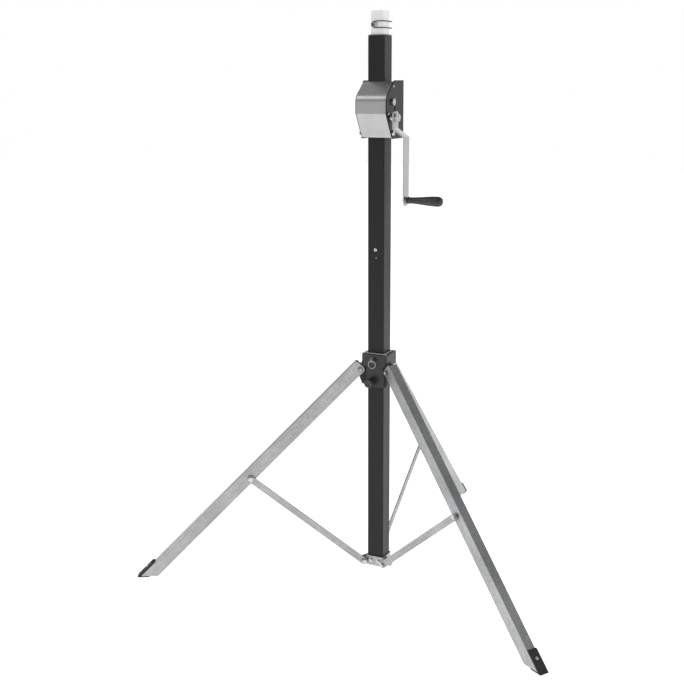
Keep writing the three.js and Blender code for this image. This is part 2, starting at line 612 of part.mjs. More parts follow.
function makeWinchDrive() {
  const flange = 13.4;
  const core = 8.5;
  const hub = 8;
  const drum = cut(
    join(
      rod("x", -DRUM_Y, DRUM_Z, flange, -22, -19, 28),
      rod("x", -DRUM_Y, DRUM_Z, core, -20, 24),
      rod("x", -DRUM_Y, DRUM_Z, flange, 23, 26, 28),
      rod("x", -DRUM_Y, DRUM_Z, hub, 25, GEAR_X + GEAR_WIDTH),
    ),
    rod("x", -DRUM_Y, DRUM_Z, 5 + GAP, -30, TUBE + 10),
  );
  add(mast, "cable_drum", drum, DARK_STEEL);
  const coil = cut(
    rod("x", -DRUM_Y, DRUM_Z, 11.7, -18.7, 22.7, 28),
    rod("x", -DRUM_Y, DRUM_Z, core + GAP, -20, 24, 28),
  );
  add(mast, "cable_coil", coil, ZINC);

  const towards = THREE.MathUtils.radToDeg(Math.atan2(CRANK_Z - DRUM_Z, DRUM_Y - CRANK_Y));
  const gear = cut(
    prism("x", gearOutline(-DRUM_Y, DRUM_Z, GEAR_TEETH, towards), GEAR_X, GEAR_X + GEAR_WIDTH),
    rod("x", -DRUM_Y, DRUM_Z, hub + GAP, 0, 2 * TUBE),
  );
  add(mast, "drum_gear", gear, DARK_STEEL);
  const pinionPhase = towards + 180 + 180 / PINION_TEETH;
  const shaftHole = rod("x", -CRANK_Y, CRANK_Z, 6 + GAP, 0, 2 * TUBE);
  const pinion = prism("x", gearOutline(-CRANK_Y, CRANK_Z, PINION_TEETH, pinionPhase), GEAR_X - 1, GEAR_X + 9);
  add(mast, "pinion", cut(pinion, shaftHole), DARK_STEEL);

  const teeth = 12;
  const saw = [];
  for (let i = 0; i < teeth; i += 1) {
    const turn = (i * 360) / teeth;
    saw.push(...arc(-CRANK_Y, CRANK_Z, 12.5, turn, turn + 4, 1), ...arc(-CRANK_Y, CRANK_Z, 9.5, turn + 6, turn + 8, 1));
  }
  const wheel = cut(prism("x", saw, RATCHET_X, RATCHET_X + RATCHET_WIDTH), shaftHole);
  add(mast, "ratchet_wheel", wheel, ZINC);
  const pawlShape = [
    [-PAWL_Y + 5, PAWL_Z - 3],
    [-PAWL_Y + 5, PAWL_Z + 4],
    [-PAWL_Y - 3, PAWL_Z + 6],
    [-CRANK_Y + 13.4, CRANK_Z + 6],
    [-CRANK_Y + 13.4, CRANK_Z + 2],
    [-PAWL_Y - 4, PAWL_Z - 5],
  ].reverse();
  const pawl = cut(
    prism("x", pawlShape, RATCHET_X, RATCHET_X + RATCHET_WIDTH),
    rod("x", -PAWL_Y, PAWL_Z, 3 + GAP, 0, 2 * TUBE),
  );
  add(mast, "pawl", pawl, ZINC);
  add(mast, "pawl_pin", rod("x", -PAWL_Y, PAWL_Z, 3, RATCHET_X - 3, SIDE_RIGHT + SIDE_THICK + 2), ZINC);
}

function makeCrank() {
  const shaftEnd = ARM_INNER_X + ARM_THICK + 10;
  const shaft = join(
    rod("x", -CRANK_Y, CRANK_Z, 6, SIDE_LEFT, shaftEnd),
    rod("x", -CRANK_Y, CRANK_Z, 10, SIDE_RIGHT + SIDE_THICK + 1, ARM_INNER_X - GAP, 28),
  );
  add(mast, "crank_shaft", shaft, ZINC);

  const half = ARM_WIDTH / 2;
  const joggleHigh = CRANK_Z - 30;
  const joggleLow = CRANK_Z - 52;
  // The arm's side view, in pairs of (z, x): down from the shaft, outwards, then down to the grip.
  const strip = [
    [CRANK_Z + half, ARM_INNER_X],
    [joggleHigh, ARM_INNER_X],
    [joggleLow, ARM_OUTER_X],
    [GRIP_Z - half, ARM_OUTER_X],
    [GRIP_Z - half, ARM_OUTER_X + ARM_THICK],
    [joggleLow + 2, ARM_OUTER_X + ARM_THICK],
    [joggleHigh + 2, ARM_INNER_X + ARM_THICK],
    [CRANK_Z + half, ARM_INNER_X + ARM_THICK],
  ].reverse();
  const corner = 6;
  const face = [
    ...arc(-CRANK_Y + half - corner, CRANK_Z + half - corner, corner, 0, 90, 4),
    ...arc(-CRANK_Y - half + corner, CRANK_Z + half - corner, corner, 90, 180, 4),
    ...arc(-CRANK_Y, GRIP_Z, half, 180, 360, 12),
  ];
  const arm = cut(
    prism("y", strip, -CRANK_Y - half, -CRANK_Y + half).intersect(prism("x", face, 0, 3 * TUBE)),
    rod("x", -CRANK_Y, CRANK_Z, 6 + GAP, 0, 3 * TUBE),
    rod("x", -CRANK_Y, GRIP_Z, SHANK + GAP, 0, 3 * TUBE),
  );
  add(mast, "crank_arm", arm, ZINC);
  const nutFrom = ARM_INNER_X + ARM_THICK + GAP;
  const nut = cut(
    join(
      rod("x", -CRANK_Y, CRANK_Z, 13, nutFrom, nutFrom + 2, 28),
      prism("x", circle(-CRANK_Y, CRANK_Z, 11, 6), nutFrom + 1, nutFrom + 9),
    ),
    rod("x", -CRANK_Y, CRANK_Z, 6 + GAP, 0, 3 * TUBE),
  );
  add(mast, "crank_nut", nut, ZINC);

  const gripFrom = ARM_OUTER_X + ARM_THICK + 2.5;
  const spindle = join(
    bolt("x", -CRANK_Y, GRIP_Z, ARM_OUTER_X - 5, ARM_OUTER_X - GAP, gripFrom + GRIP_LENGTH - 15),
    rod("x", -CRANK_Y, GRIP_Z, 8.5, ARM_OUTER_X + ARM_THICK + GAP, gripFrom - GAP),
  );
  add(mast, "grip_spindle", spindle, ZINC);
  const slim = 9;
  const stout = 13.5;
  const profile = [
    [SHANK + 2 * GAP, gripFrom],
    [slim, gripFrom],
    [slim + 0.6, gripFrom + 6],
    [slim - 0.2, gripFrom + 20],
    [stout - 1.6, gripFrom + 55],
    [stout, gripFrom + 80],
    [stout - 0.8, gripFrom + 92],
    [stout - 4, gripFrom + 99],
    [SHANK + 2 * GAP, gripFrom + GRIP_LENGTH],
    [SHANK + 2 * GAP, gripFrom],
  ];
  add(mast, "crank_grip", turned("x", -CRANK_Y, GRIP_Z, profile), BLACK_PLASTIC);
}

function makeCable() {
  const wrap = PULLEY_GROOVE + CABLE_R + 0.2;
  const route = [
    [-DRUM_Y - 14.2, DRUM_Z + 1],
    ...arc(-PULLEY_Y, PULLEY_Z, wrap, 190, 10, 9),
    [-PULLEY_Y + wrap, PULLEY_Z - 9],
    [-PULLEY_Y + wrap, PULLEY_Z - 18],
  ].map(([y, z]) => new THREE.Vector3(0, y, z));
  const path = new THREE.CatmullRomCurve3(route, false, "centripetal");
  const section = new THREE.Shape(circle(0, 0, CABLE_R, 8).map(([u, v]) => new THREE.Vector2(u, v)));
  const lead = new THREE.ExtrudeGeometry(section, { steps: 20, extrudePath: path, bevelEnabled: false });
  add(mast, "cable_lead", solid(lead), ZINC);
  const top = PULLEY_Z - 18 - GAP;
  add(mast, "cable_run", rod("z", 0, -PULLEY_Y + wrap, CABLE_R, SLIDER_TOP + GAP, top, 8), ZINC);
}

makeMast();
makeLockPin();
Object.keys(LEG_AZIMUTHS).forEach(makeLeg);
makeBaseBracket();
makeCollar();
makeWinchFrame();
makeWinchDrive();
makeCrank();
makeCable();

// Set the origin at the centre of the box's bottom.
mast.updateMatrixWorld(true);
const box = new THREE.Box3().setFromObject(mast, true);
mast.position.set(-(box.min.x + box.max.x) / 2, -(box.min.y + box.max.y) / 2, -box.min.z);

export default stand;
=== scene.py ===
"""Looks for the crank lighting stand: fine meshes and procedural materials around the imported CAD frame."""
import json
import math

import bmesh
import bpy
from mathutils import Matrix, Vector


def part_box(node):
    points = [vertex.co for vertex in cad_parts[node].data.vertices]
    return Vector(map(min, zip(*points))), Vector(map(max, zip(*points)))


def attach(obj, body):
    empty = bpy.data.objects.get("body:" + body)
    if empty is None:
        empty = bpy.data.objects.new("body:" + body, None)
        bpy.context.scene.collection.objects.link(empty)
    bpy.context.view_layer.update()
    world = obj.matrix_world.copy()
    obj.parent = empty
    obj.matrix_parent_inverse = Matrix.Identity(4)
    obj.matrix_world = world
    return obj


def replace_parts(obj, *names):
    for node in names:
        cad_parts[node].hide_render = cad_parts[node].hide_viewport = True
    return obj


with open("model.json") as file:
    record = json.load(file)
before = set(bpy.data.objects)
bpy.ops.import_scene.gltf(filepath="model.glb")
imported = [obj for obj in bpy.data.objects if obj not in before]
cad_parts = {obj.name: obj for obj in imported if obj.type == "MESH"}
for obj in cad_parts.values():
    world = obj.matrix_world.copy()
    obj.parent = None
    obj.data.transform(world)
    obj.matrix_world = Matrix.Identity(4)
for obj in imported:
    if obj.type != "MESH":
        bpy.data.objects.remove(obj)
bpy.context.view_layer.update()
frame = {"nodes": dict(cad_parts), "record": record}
BODY_OF = {node: body for body, nodes in frame["record"]["behaviour"]["bodies"].items() for node in nodes}
X, Y, Z = Vector((1, 0, 0)), Vector((0, 1, 0)), Vector((0, 0, 1))
MM = 0.001


def middle(node):
    low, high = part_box(node)
    return (low + high) / 2


MAST = middle("outer_tube")
LEG_AZIMUTH = {"a": math.radians(210), "b": math.radians(330), "c": math.radians(90)}
LEG_ANGLE = math.radians(44.8)
STRUT_ANGLE = math.radians(51)


# ---- Materials ----
class Nodes:
    """A new material's node tree, with short calls to add and join its nodes."""

    def __init__(self, name):
        self.material = bpy.data.materials.new(name)
        self.material.use_nodes = True
        self.tree = self.material.node_tree
        self.shader = self.tree.nodes["Principled BSDF"]
        self.place = self.add("ShaderNodeTexCoord").outputs["Object"]

    def add(self, kind, **values):
        node = self.tree.nodes.new(kind)
        for key, value in values.items():
            setattr(node, key, value)
        return node

    def join(self, output, socket):
        self.tree.links.new(output, socket)

    def noise(self, scale, detail=4.0, stretch=(1, 1, 1), turn=(0, 0, 0), rough=0.5):
        """Noise in the object's own space; stretch makes its grains longer along an axis turned by turn."""
        mapping = self.add("ShaderNodeMapping", vector_type="TEXTURE")
        mapping.inputs["Scale"].default_value = stretch
        mapping.inputs["Rotation"].default_value = turn
        self.join(self.place, mapping.inputs["Vector"])
        noise = self.add("ShaderNodeTexNoise")
        noise.inputs["Scale"].default_value = scale
        noise.inputs["Detail"].default_value = detail
        noise.inputs["Roughness"].default_value = rough
        self.join(mapping.outputs["Vector"], noise.inputs["Vector"])
        return noise.outputs["Fac"]

    def cells(self, scale):
        cells = self.add("ShaderNodeTexVoronoi")
        cells.inputs["Scale"].default_value = scale
        self.join(self.place, cells.inputs["Vector"])
        return cells.outputs["Color"]

    def ramp(self, fac, stops):
        ramp = self.add("ShaderNodeValToRGB")
        set_ramp(ramp, stops)
        self.join(fac, ramp.inputs["Fac"])
        return ramp.outputs["Color"]

    def mix(self, fac, first, second):
        mix = self.add("ShaderNodeMix", data_type="RGBA")
        if isinstance(fac, float):
            mix.inputs["Factor"].default_value = fac
        else:
            self.join(fac, mix.inputs["Factor"])
        for socket, value in (("A", first), ("B", second)):
            entry = next(i for i in mix.inputs if i.name == socket and i.type == "RGBA")
            if isinstance(value, tuple):
                entry.default_value = (*value, 1)
            else:
                self.join(value, entry)
        return next(o for o in mix.outputs if o.type == "RGBA")

    def bump(self, height, strength, distance):
        bump = self.add("ShaderNodeBump")
        bump.inputs["Strength"].default_value = strength
        bump.inputs["Distance"].default_value = distance
        self.join(height, bump.inputs["Height"])
        self.join(bump.outputs["Normal"], self.shader.inputs["Normal"])


def set_ramp(ramp, stops):
    """Give a colour ramp its stops: pairs of position and grey level."""
    elements = ramp.color_ramp.elements
    for element, (at, level) in zip(elements, (stops[0], stops[-1])):
        element.position = at
        element.color = (level, level, level, 1)
    for at, level in stops[1:-1]:
        elements.new(at).color = (level, level, level, 1)


def metal(name, color, roughness, grain, stretch, mottle=0.06, bump=0.12, bare=1.0):
    """Metal with a fine grain, a soft mottle and small changes of gloss; bare is how metallic it is."""
    n = Nodes(name)
    lines = n.noise(grain, 3.0, stretch, rough=0.6)
    cloud = n.noise(24.0, 5.0)
    dark = tuple(c * (1 - 2.2 * mottle) for c in color)
    light = tuple(min(1.0, c * (1 + mottle)) for c in color)
    base = n.mix(n.ramp(cloud, [(0.3, 0.0), (0.7, 1.0)]), dark, light)
    streaked = n.mix(n.ramp(lines, [(0.3, 0.0), (0.7, 0.35)]), base, tuple(c * 0.8 for c in color))
    n.join(streaked, n.shader.inputs["Base Color"])
    n.shader.inputs["Metallic"].default_value = bare
    n.join(n.ramp(lines, [(0.25, roughness - 0.07), (0.75, roughness + 0.08)]), n.shader.inputs["Roughness"])
    n.bump(lines, bump, 0.0002)
    return n.material


def galvanised(name, turn):
    """Zinc plated sheet: faint crystal flakes under a drawn grain that runs along the bar."""
    n = Nodes(name)
    flakes = n.ramp(n.cells(170.0), [(0.0, 0.0), (1.0, 1.0)])
    lines = n.noise(9.0, 4.0, (0.02, 0.02, 0.6), turn, 0.6)
    cloud = n.noise(9.0, 5.0)
    base = n.mix(n.ramp(cloud, [(0.3, 0.0), (0.72, 1.0)]), (0.30, 0.306, 0.312), (0.42, 0.426, 0.432))
    flaked = n.mix(0.10, base, flakes)
    drawn = n.mix(n.ramp(lines, [(0.42, 0.0), (0.75, 0.5)]), flaked, (0.26, 0.266, 0.272))
    n.join(drawn, n.shader.inputs["Base Color"])
    n.shader.inputs["Metallic"].default_value = 0.92
    n.join(n.ramp(lines, [(0.3, 0.33), (0.7, 0.5)]), n.shader.inputs["Roughness"])
    n.bump(lines, 0.15, 0.0003)
    return n.material


def black_paint():
    """Satin black powder coat with an orange-peel skin and faint cloudy changes of tone and gloss."""
    n = Nodes("black_powder_coat")
    skin = n.noise(900.0, 2.0)
    rubbed = n.noise(7.0, 6.0, (0.3, 0.3, 2.0), rough=0.65)
    coat = n.mix(n.ramp(rubbed, [(0.45, 0.0), (0.75, 1.0)]), (0.006, 0.0056, 0.0064), (0.010, 0.0096, 0.0104))
    n.join(coat, n.shader.inputs["Base Color"])
    n.join(n.ramp(rubbed, [(0.35, 0.36), (0.75, 0.5)]), n.shader.inputs["Roughness"])
    n.shader.inputs["Specular IOR Level"].default_value = 0.3
    n.bump(skin, 0.10, 0.0002)
    return n.material


def moulded(name, color, roughness, grain, depth):
    """Moulded plastic or rubber with a spark-eroded grain and handling marks."""
    n = Nodes(name)
    fine = n.noise(grain, 3.0)
    marks = n.noise(30.0, 6.0, rough=0.6)
    light = tuple(min(1.0, c * 1.5 + 0.006) for c in color)
    base = n.mix(n.ramp(marks, [(0.4, 0.0), (0.8, 1.0)]), color, light)
    n.join(base, n.shader.inputs["Base Color"])
    n.join(n.ramp(marks, [(0.3, roughness - 0.06), (0.75, roughness + 0.1)]), n.shader.inputs["Roughness"])
    n.bump(fine, depth, 0.0003)
    return n.material


# How far a grain is stretched along X, Y and Z.
EVEN = (1, 1, 1)
ACROSS = (0.4, 0.012, 0.012)
UPRIGHT = (0.012, 0.012, 0.5)
MATERIALS = {
    "black_paint": black_paint(),
    "black_plastic": moulded("black_moulded_plastic", (0.014, 0.014, 0.015), 0.42, 1400.0, 0.12),
    "foot_rubber": moulded("foot_rubber", (0.016, 0.016, 0.016), 0.72, 700.0, 0.3),
    "nylon": moulded("natural_nylon", (0.50, 0.50, 0.48), 0.45, 900.0, 0.1),
    "knob_plastic": moulded("knob_plastic", (0.030, 0.030, 0.031), 0.5, 1400.0, 0.12),
    "dull_zinc": metal("dull_zinc", (0.20, 0.20, 0.205), 0.38, 60.0, EVEN, mottle=0.1, bump=0.06),
    "zinc": metal("bright_zinc", (0.52, 0.525, 0.53), 0.27, 60.0, EVEN, bump=0.06),
    "aluminium": metal(
        "drawn_aluminium", (0.84, 0.85, 0.86), 0.34, 8.0, UPRIGHT, mottle=0.02, bump=0.03, bare=0.4
    ),
    "stainless": metal("brushed_stainless", (0.42, 0.42, 0.425), 0.3, 9.0, ACROSS, mottle=0.04, bump=0.2),
    "dark_steel": metal("blackened_steel", (0.07, 0.07, 0.075), 0.36, 60.0, EVEN, mottle=0.15),
    "arm_steel": metal("zinc_arm", (0.46, 0.465, 0.47), 0.3, 8.0, UPRIGHT, mottle=0.05, bump=0.1),
    "galvanised": galvanised("galvanised_sheet", (0, 0, 0)),
}
LEG_METAL = {
    key: galvanised(f"galvanised_leg_{key}", (0, -LEG_ANGLE, azimuth)) for key, azimuth in LEG_AZIMUTH.items()
}
STRUT_METAL = {
    key: galvanised(f"galvanised_strut_{key}", (0, STRUT_ANGLE, azimuth))
    for key, azimuth in LEG_AZIMUTH.items()
}
SLOT_OF = {row["node"]: row["material_slot"] for row in frame["record"]["subparts"]}


# ---- Mesh helpers ----
def piece(name, mesh_code, body, slot, material=None):
    """A new piece from a bmesh, riding on a body and finished as a slot."""
    data = bpy.data.meshes.new(name)
    mesh_code.normal_update()
    mesh_code.to_mesh(data)
    mesh_code.free()
    thing = bpy.data.objects.new(name, data)
    bpy.context.scene.collection.objects.link(thing)
    data.materials.append(material or MATERIALS[slot])
    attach(thing, body)
    return thing


def smooth(thing, angle=35.0):
    """Smooth shading, kept sharp across edges above an angle."""
    data = thing.data
    data.polygons.foreach_set("use_smooth", [True] * len(data.polygons))
    data.set_sharp_from_angle(angle=math.radians(angle))


def rounded(thing, width, segments=3, angle=32.0):
    """Small rounds on every sharp edge, as pressed, cut or moulded pieces have."""
    bevel = thing.modifiers.new("rounds", "BEVEL")
    bevel.width = width
    bevel.segments = segments
    bevel.limit_method = "ANGLE"
    bevel.angle_limit = math.radians(angle)
    bevel.use_clamp_overlap = True
    weighted = thing.modifiers.new("flat_faces", "WEIGHTED_NORMAL")
    weighted.keep_sharp = True
    smooth(thing, angle)


def refined(node, width, material=None, segments=2, angle=32.0):
    """A finer copy of a CAD node: flat faces made whole again and every edge rounded."""
    source = frame["nodes"][node].data
    code = bmesh.new()
    code.from_mesh(source)
    bmesh.ops.remove_doubles(code, verts=code.verts, dist=1e-6)
    bmesh.ops.dissolve_limit(code, angle_limit=math.radians(1.0), verts=code.verts, edges=code.edges)
    thing = piece(f"{node}_fine", code, BODY_OF[node], SLOT_OF[node], material)
    rounded(thing, width, segments, angle)
    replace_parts(thing, node)
    return thing


def basis(axis):
    """Two directions square to an axis."""
    side = Z if abs(axis.z) < 0.9 else X
    first = axis.cross(side).normalized()
    return first, axis.cross(first).normalized()


def lathe(code, centre, axis, profile, sides=48, ribs=0, rib_depth=0.0):
    """A turned skin: pairs of place along the axis and radius, closed at both ends."""
    first, second = basis(axis)
    rings = []
    for along, radius in profile:
        ring = []
        for i in range(sides):
            angle = 2 * math.pi * i / sides
            reach = radius + (rib_depth * math.cos(ribs * angle) if ribs and radius > rib_depth else 0.0)
            point = centre + axis * along + (first * math.cos(angle) + second * math.sin(angle)) * reach
            ring.append(code.verts.new(point))
        rings.append(ring)
    for low, high in zip(rings, rings[1:]):
        for i in range(sides):
            j = (i + 1) % sides
            code.faces.new((low[i], low[j], high[j], high[i]))
    code.faces.new(list(reversed(rings[0])))
    code.faces.new(rings[-1])
    bmesh.ops.recalc_face_normals(code, faces=code.faces)


def turned(
    name, centre, axis, profile, body, slot, replaces=None, sides=48, width=0.0, material=None, **ribbing
):
    code = bmesh.new()
    lathe(code, centre, axis, profile, sides, **ribbing)
    thing = piece(name, code, body, slot, material)
    smooth(thing)
    if width:
        rounded(thing, width, 2)
    if replaces:
        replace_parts(thing, replaces)
    return thing


def wire(name, points, radius, body, slot, node):
    """A round wire along points, as a smooth curve that stands for a CAD node."""
    curve = bpy.data.curves.new(name, "CURVE")
    curve.dimensions = "3D"
    curve.bevel_depth = radius
    curve.bevel_resolution = 5
    curve.use_fill_caps = True
    curve.resolution_u = 8
    line = curve.splines.new("NURBS")
    line.points.add(len(points) - 1)
    for target, point in zip(line.points, points):
        target.co = (*point, 1)
    line.order_u = 4
    line.use_endpoint_u = True
    thing = bpy.data.objects.new(name, curve)
    bpy.context.scene.collection.objects.link(thing)
    curve.materials.append(MATERIALS[slot])
    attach(thing, body)
    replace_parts(thing, node)


DOME_STEPS = 7


def screw(name, centre, axis, radius, body, high, hexagon=False):
    """A zinc fastener's head: a hexagon on its washer, or a dome with a round socket sunk in it."""
    code = bmesh.new()
    if hexagon:
        lathe(code, centre, axis, [(0, 1.35 * radius), (0.9 * MM, 1.35 * radius)], 48)
        lathe(code, centre, axis, [(0.9 * MM, radius), (high, radius), (high + 0.3 * MM, 0.9 * radius)], 6)
    else:
        dome = [(0, radius)]
        for i in range(DOME_STEPS):
            angle = math.radians(90 * i / DOME_STEPS)
            dome.append((high * math.sin(angle), radius * math.cos(angle) + 0.001 * radius))
        dome.append((high * 0.99, 0.30 * radius))
        dome.append((high * 0.45, 0.26 * radius))
        lathe(code, centre, axis, dome, 32)
    thing = piece(name, code, body, "zinc")
    smooth(thing, 28.0)
    return thing


# ---- Camera, light and floor ----
CAMERA_DISTANCE = 3.046
CAMERA_HEIGHT = 1.444
CAMERA_AZIMUTH = math.radians(25.0)
CAMERA_PITCH = math.radians(13.64)
CAMERA_YAW = -0.035
CAMERA_ROLL = 0.0053
LENS = 57.46


def make_camera():
    data = bpy.data.cameras.new("camera")
    data.lens = LENS
    data.sensor_width = 36.0
    camera = bpy.data.objects.new("camera", data)
    bpy.context.scene.collection.objects.link(camera)
    heading = CAMERA_AZIMUTH - CAMERA_YAW
    level = Vector((-math.sin(heading), math.cos(heading), 0))
    right = Vector((math.cos(heading), math.sin(heading), 0))
    forward = level * math.cos(CAMERA_PITCH) - Z * math.sin(CAMERA_PITCH)
    up = Z * math.cos(CAMERA_PITCH) + level * math.sin(CAMERA_PITCH)
    rolled_right = right * math.cos(CAMERA_ROLL) - up * math.sin(CAMERA_ROLL)
    rolled_up = right * math.sin(CAMERA_ROLL) + up * math.cos(CAMERA_ROLL)
    place = Vector((MAST.x, MAST.y, 0)) + Z * CAMERA_HEIGHT
    place += Vector((math.sin(CAMERA_AZIMUTH), -math.cos(CAMERA_AZIMUTH), 0)) * CAMERA_DISTANCE
    turn = Matrix((rolled_right, rolled_up, -forward)).transposed()
    camera.matrix_world = Matrix.Translation(place) @ turn.to_4x4()
    bpy.context.scene.camera = camera


def area_light(name, place, target, size, power):
    data = bpy.data.lights.new(name, "AREA")
    data.shape = "RECTANGLE"
    data.size, data.size_y = size
    data.energy = power
    light = bpy.data.objects.new(name, data)
    light.location = place
    light.rotation_euler = (Vector(target) - Vector(place)).to_track_quat("-Z", "Y").to_euler()
    bpy.context.scene.collection.objects.link(light)


def make_world():
    """Light from all round: a bright paper sweep low behind the stand, and a dimmer room elsewhere."""
    world = bpy.data.worlds.new("studio")
    world.use_nodes = True
    tree = world.node_tree
    coordinates = tree.nodes.new("ShaderNodeTexCoord")
    split = tree.nodes.new("ShaderNodeSeparateXYZ")
    tree.links.new(coordinates.outputs["Generated"], split.inputs["Vector"])
    height = tree.nodes.new("ShaderNodeValToRGB")
    set_ramp(height, [(0.0, 1.0), (0.12, 1.0), (0.3, 0.35), (1.0, 0.15)])
    tree.links.new(split.outputs["Z"], height.inputs["Fac"])
    depth = tree.nodes.new("ShaderNodeMapRange")
    depth.inputs["From Min"].default_value = 0.0
    depth.inputs["From Max"].default_value = 0.4
    depth.inputs["To Min"].default_value = 0.7
    tree.links.new(split.outputs["Y"], depth.inputs["Value"])
    shade = tree.nodes.new("ShaderNodeMix")
    shade.data_type = "RGBA"
    shade.blend_type = "MULTIPLY"
    shade.inputs["Factor"].default_value = 1.0
    colors = [entry for entry in shade.inputs if entry.type == "RGBA"]
    tree.links.new(height.outputs["Color"], colors[0])
    tree.links.new(depth.outputs["Result"], colors[1])
    background = tree.nodes["Background"]
    shaded = next(entry for entry in shade.outputs if entry.type == "RGBA")
    tree.links.new(shaded, background.inputs["Color"])
    background.inputs["Strength"].default_value = 1.0
    bpy.context.scene.world = world


FLOOR_HALF = 14.0


def make_floor():
    code = bmesh.new()
    bmesh.ops.create_grid(code, x_segments=1, y_segments=1, size=FLOOR_HALF)
    data = bpy.data.meshes.new("floor")
    code.to_mesh(data)
    code.free()
    floor = bpy.data.objects.new("floor", data)
    bpy.context.scene.collection.objects.link(floor)
    pale = Nodes("pale_floor")
    cloud = pale.ramp(pale.noise(1.5, 2.0), [(0.3, 0.0), (0.7, 1.0)])
    tone = pale.mix(cloud, (0.93, 0.93, 0.93), (0.95, 0.95, 0.95))
    pale.join(tone, pale.shader.inputs["Base Color"])
    pale.shader.inputs["Roughness"].default_value = 0.9
    pale.shader.inputs["Specular IOR Level"].default_value = 0.1
    pale.shader.inputs["Emission Color"].default_value = (1, 1, 1, 1)
    pale.shader.inputs["Emission Strength"].default_value = 0.9
    data.materials.append(pale.material)


def make_lights():
    area_light("key", (-3.4, -2.4, 4.0), (0, -0.2, 0.9), (3.4, 3.0), 75)
    area_light("side", (3.6, -1.0, 2.2), (0, -0.2, 0.8), (1.4, 2.4), 22)
    area_light("back", (0.8, 3.4, 3.0), (0, 0, 0.8), (2.4, 1.6), 20)
    area_light("overhead", (0.0, -0.6, 5.0), (0, 0, 0), (5.0, 5.0), 30)


bpy.context.scene.view_settings.view_transform = "Standard"
make_camera()
make_world()
make_floor()
make_lights()


# ---- Mast and its fittings ----
TUBE_HALF = 25 * MM
BAIL_WIRE = 1.4 * MM
BUSH_SCREW_BACK = 3 * MM
BUSH_SCREW_Z = 1.535


def finish_mast():
    for node in ("outer_tube", "top_bush", "inner_tube", "spigot_socket"):
        refined(node, 0.4 * MM, angle=15.0)
    finish_lock_pin()
    finish_bail()
    centre = middle("lock_pin")
    rim = Vector((centre.x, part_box("inner_tube")[0].y - 0.9 * MM, centre.z))
    washer = [(0, 7 * MM), (0.8 * MM, 7 * MM)]
    turned("lock_pin_washer", rim, Y, washer, "inner_mast", "zinc", width=0.2 * MM)
    hole = Vector((MAST.x + TUBE_HALF, MAST.y + BUSH_SCREW_BACK, BUSH_SCREW_Z))
    plug = [(0, 2.4 * MM), (0.3 * MM, 2.4 * MM)]
    turned("bush_screw", hole, X, plug, "root", "black_plastic")


def finish_lock_pin():
    low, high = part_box("lock_pin")
    centre = middle("lock_pin")
    length = high.y - low.y
    shaft = [(0, 2.6 * MM), (1.2 * MM, 4 * MM), (length - 9.7 * MM, 4 * MM)]
    head = [(length - 9.6 * MM, 6 * MM), (length - 9 * MM, 6.5 * MM)]
    head += [(length - 1 * MM, 6.3 * MM), (length, 5 * MM)]
    tip = Vector((centre.x, low.y, centre.z))
    turned("lock_pin_fine", tip, Y, shaft + head, "inner_mast", "zinc", "lock_pin")


def finish_bail():
    """The wire bail: two like runs, over and under the pin, joined round the front, and a sleeve there."""
    low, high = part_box("wire_bail")
    z = middle("lock_pin").z
    side = high.x - BAIL_WIRE
    near = low.y + BAIL_WIRE
    far = high.y - BAIL_WIRE
    rise = high.z - z - BAIL_WIRE
    half = [(0.001, far), (0.012, far), (side - 0.002, far), (side, far - 0.006), (side, MAST.y)]
    half += [(side, near + 0.01), (side, near + 0.002), (side - 0.003, near), (side - 0.010, near)]
    half += [(0.0, near)]
    upper = [(x, y, z + rise) for x, y in half]
    lower = [(x, y, z - rise) for x, y in half]
    tip_x = low.x + BAIL_WIRE
    tip = [(tip_x + 0.003, near, z + rise * 0.9), (tip_x, near, z + rise * 0.3)]
    tip += [(x, y, 2 * z - above) for x, y, above in reversed(tip)]
    wire("wire_bail_fine", upper + tip + lower[::-1], BAIL_WIRE, "clip_wire", "dark_steel", "wire_bail")
    sleeve = [(0, 1.5 * MM), (0.3 * MM, 2.5 * MM), (7.7 * MM, 2.5 * MM), (8 * MM, 1.5 * MM)]
    start = Vector((tip_x, near, z - 4 * MM))
    plastic = MATERIALS["black_plastic"]
    turned("wire_sleeve", start, Z, sleeve, "clip_wire", "dark_steel", material=plastic)


# ---- Collar, its knob and its spring pin ----
COLLAR_SCREW_X = 32 * MM
COLLAR_SCREW_FORWARD = 26 * MM
RING_WIRE = 0.75 * MM
RING_INSET = 1.1 * MM
RING_STEPS = 48
RING_GAP_STEPS = 6
RING_PITCH = 1.4 * MM
STOP_HEAD_DEPTH = 4.2 * MM


def finish_collar():
    refined("leg_collar", 0.9 * MM)
    refined("collar_liner", 0.3 * MM)
    refined("plunger_housing", 0.3 * MM, MATERIALS["dull_zinc"])
    refined("pull_pin", 0.4 * MM, MATERIALS["dull_zinc"])
    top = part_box("leg_collar")[1].z
    for side, x in (("left", -COLLAR_SCREW_X), ("right", COLLAR_SCREW_X)):
        place = Vector((MAST.x + x, MAST.y - COLLAR_SCREW_FORWARD, top))
        screw(f"collar_screw_{side}", place, Z, 3.6 * MM, "collar", 3 * MM)
    finish_knob()
    finish_ring()
    stop = Vector((0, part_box("collar_stop_screw")[0].y + STOP_HEAD_DEPTH, middle("collar_stop_screw").z))
    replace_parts(screw("collar_stop_screw_fine", stop, -Y, 5.5 * MM, "root", 4 * MM), "collar_stop_screw")


